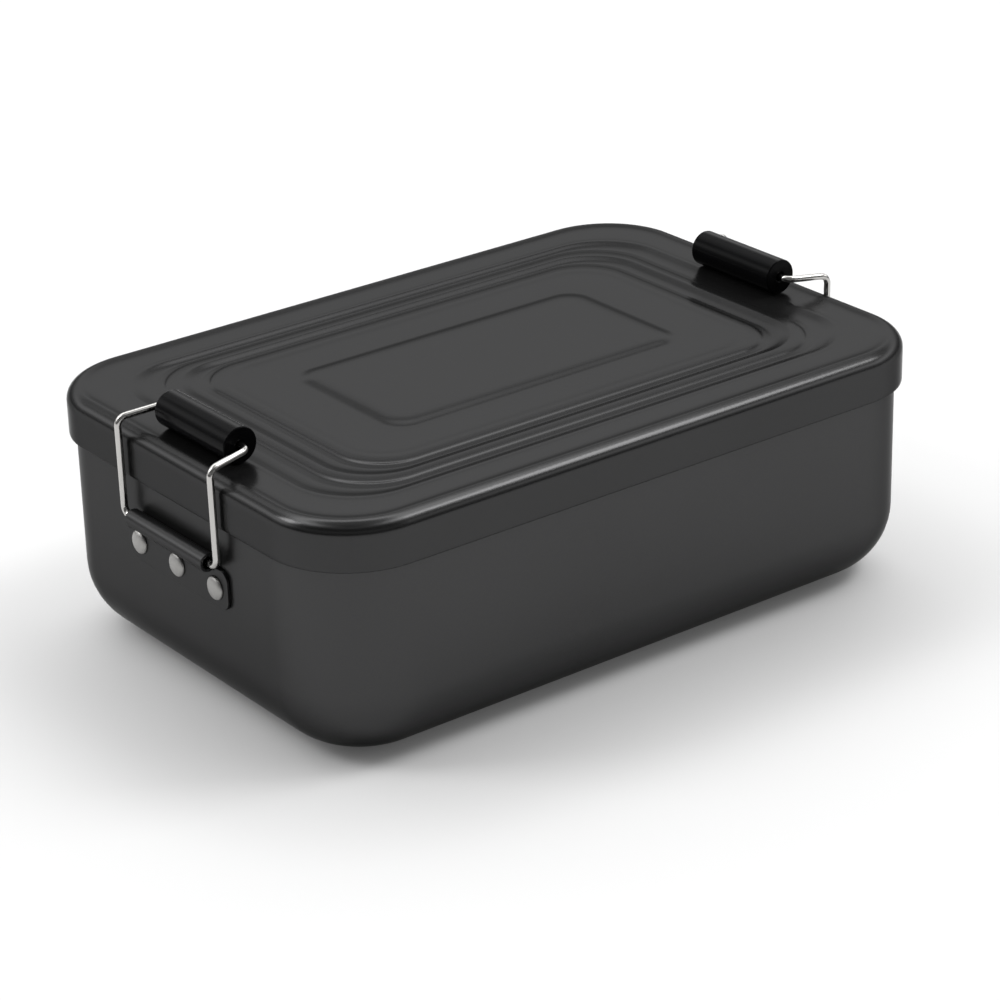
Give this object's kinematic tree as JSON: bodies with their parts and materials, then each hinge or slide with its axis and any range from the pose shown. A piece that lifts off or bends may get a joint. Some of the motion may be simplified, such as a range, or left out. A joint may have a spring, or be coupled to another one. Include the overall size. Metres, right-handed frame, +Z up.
{
  "type": "metal lunch box",
  "caption": "Rectangular metal lunch box: a deep-drawn tray, a ribbed lift-off lid, and a wire clip with a hooked grip on a riveted bracket at each end.",
  "frame": {"origin": "on the surface the box stands on, under the middle of the tray", "axes": "+X along the length towards the right clip, +Y along the width towards the back, +Z up"},
  "size_m": [0.1872, 0.122, 0.0702],
  "materials": {
    "coated_sheet": "satin black coated aluminium sheet, fine even texture",
    "bracket_sheet": "satin black painted sheet steel",
    "bail_wire": "bright drawn steel wire",
    "rivet_metal": "satin bare aluminium",
    "grip_plastic": "glossy black moulded plastic"
  },
  "bodies": {
    "tray_body": {"tray": "coated_sheet", "left_clip_bracket": "bracket_sheet", "right_clip_bracket": "bracket_sheet", "left_rivet_front": "rivet_metal", "left_rivet_middle": "rivet_metal", "left_rivet_rear": "rivet_metal", "right_rivet_front": "rivet_metal", "right_rivet_middle": "rivet_metal", "right_rivet_rear": "rivet_metal"},
    "lid_body": {"lid": "coated_sheet"},
    "left_bail": {"left_wire_bail": "bail_wire"},
    "right_bail": {"right_wire_bail": "bail_wire"},
    "left_grip_body": {"left_grip": "grip_plastic"},
    "right_grip_body": {"right_grip": "grip_plastic"}
  },
  "joints": [
    {"name": "left_bail_swing", "type": "hinge", "parent": "tray_body", "child": "left_bail", "pos_m": [-0.09133, 0, 0.041], "axis": [0, -1, 0], "range_deg": [0, 165]},
    {"name": "right_bail_swing", "type": "hinge", "parent": "tray_body", "child": "right_bail", "pos_m": [0.09133, 0, 0.041], "axis": [0, 1, 0], "range_deg": [0, 165]},
    {"name": "lid_lift", "type": "slide", "parent": "tray_body", "child": "lid_body", "axis": [0, 0, 1], "range_m": [0, 0.011]},
    {"name": "left_grip_turn", "type": "hinge", "parent": "left_bail", "child": "left_grip_body", "pos_m": [-0.0802, 0, 0.06575], "axis": [0, 1, 0], "range_deg": [-180, 180]},
    {"name": "right_grip_turn", "type": "hinge", "parent": "right_bail", "child": "right_grip_body", "pos_m": [0.0802, 0, 0.06575], "axis": [0, -1, 0], "range_deg": [-180, 180]}
  ],
  "couplings": [
    {"joint": "right_bail_swing", "follows": "left_bail_swing", "ratio": 1},
    {"joint": "lid_lift", "follows": "left_bail_swing", "m_per_rad": 0.0038}
  ]
}
